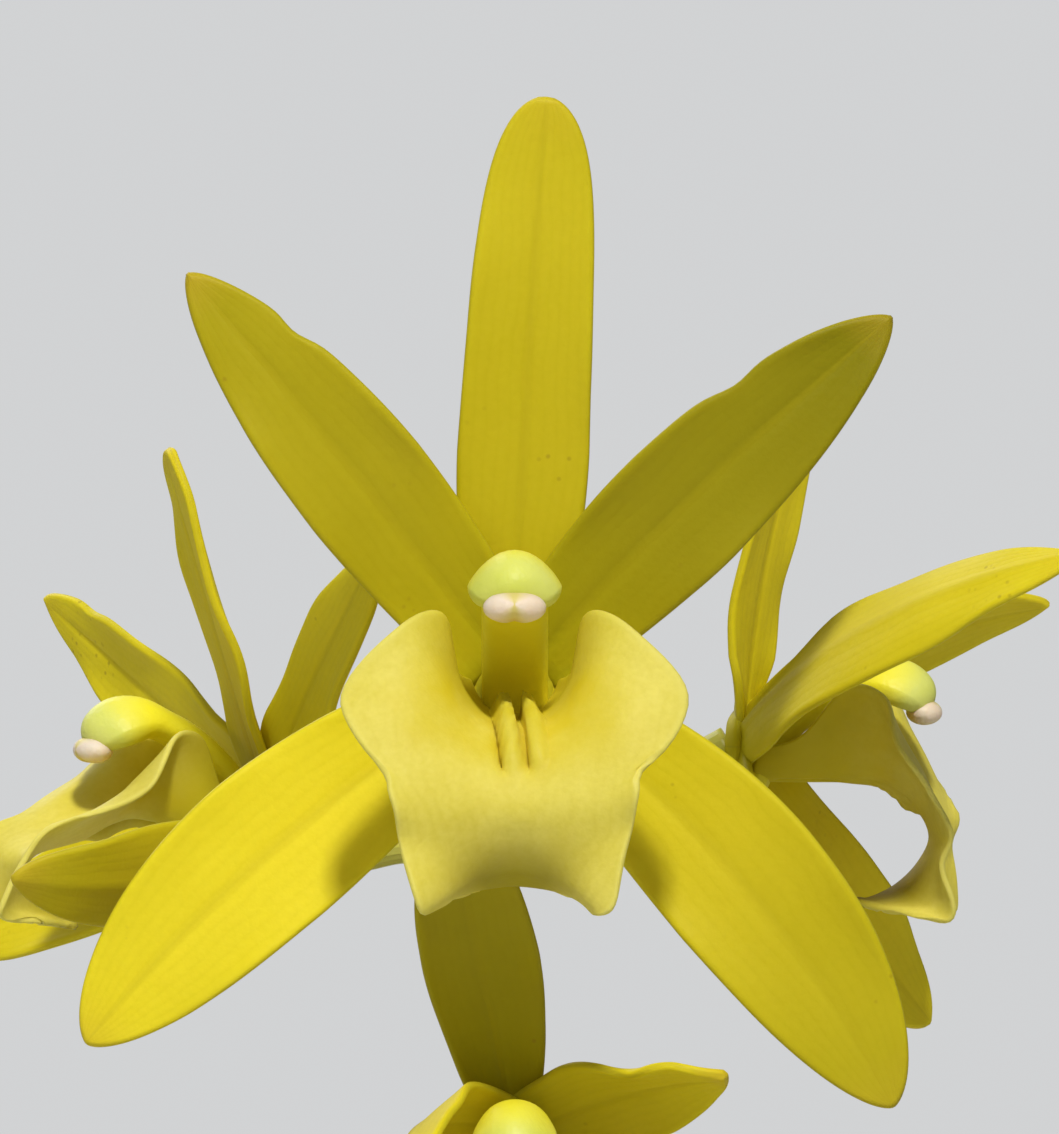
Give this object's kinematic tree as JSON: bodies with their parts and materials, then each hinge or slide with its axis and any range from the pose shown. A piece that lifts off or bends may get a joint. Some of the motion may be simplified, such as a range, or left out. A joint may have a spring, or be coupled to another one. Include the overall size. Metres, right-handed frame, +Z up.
{
  "type": "potted cymbidium orchid",
  "caption": "Potted orchid: arching strap leaves and one upright spray of yellow blooms with frilled lips, standing in a plain tapered clay pot of bark.",
  "frame": {"origin": "middle of the pot's underside, on the surface that it stands on", "axes": "+Z up; -Y is the front, the way the top bloom faces"},
  "size_m": [0.5885, 0.4513, 0.6114],
  "materials": {
    "terracotta": "unglazed fired clay, matt, with faint lime bloom",
    "bark": "rough chipped conifer bark, damp and matt",
    "pseudobulb": "satin green skin with papery tan sheaths and pale roots",
    "leaf": "smooth satin leaf with parallel veins and a paler midrib",
    "flower_stem": "smooth satin green stalk with yellower flower stalks",
    "petal": "satin waxy yellow with fine lengthwise veins",
    "lip": "waxy pale yellow with deeper keels in the throat",
    "column": "waxy greenish yellow",
    "anther_cap": "waxy cream with pink patches"
  },
  "bodies": {
    "root": {"pot": "terracotta", "bark_medium": "bark", "bulb_clump": "pseudobulb", "leaf_1": "leaf", "leaf_2": "leaf", "leaf_3": "leaf", "leaf_4": "leaf", "leaf_5": "leaf", "leaf_6": "leaf", "leaf_7": "leaf", "leaf_8": "leaf", "leaf_9": "leaf", "leaf_10": "leaf", "leaf_11": "leaf", "leaf_12": "leaf", "leaf_13": "leaf", "leaf_14": "leaf", "leaf_15": "leaf", "flower_stem": "flower_stem", "bloom_1_tepals": "petal", "bloom_1_lip": "lip", "bloom_1_column": "column", "bloom_1_anther_cap": "anther_cap", "bloom_2_tepals": "petal", "bloom_2_lip": "lip", "bloom_2_column": "column", "bloom_2_anther_cap": "anther_cap", "bloom_3_tepals": "petal", "bloom_3_lip": "lip", "bloom_3_column": "column", "bloom_3_anther_cap": "anther_cap", "bloom_4_tepals": "petal", "bloom_4_lip": "lip", "bloom_4_column": "column", "bloom_4_anther_cap": "anther_cap", "bloom_5_tepals": "petal", "bloom_5_lip": "lip", "bloom_5_column": "column", "bloom_5_anther_cap": "anther_cap", "bloom_6_tepals": "petal", "bloom_6_lip": "lip", "bloom_6_column": "column", "bloom_6_anther_cap": "anther_cap", "bloom_7_tepals": "petal", "bloom_7_lip": "lip", "bloom_7_column": "column", "bloom_7_anther_cap": "anther_cap", "bloom_8_tepals": "petal", "bloom_8_lip": "lip", "bloom_8_column": "column", "bloom_8_anther_cap": "anther_cap"}
  },
  "joints": []
}
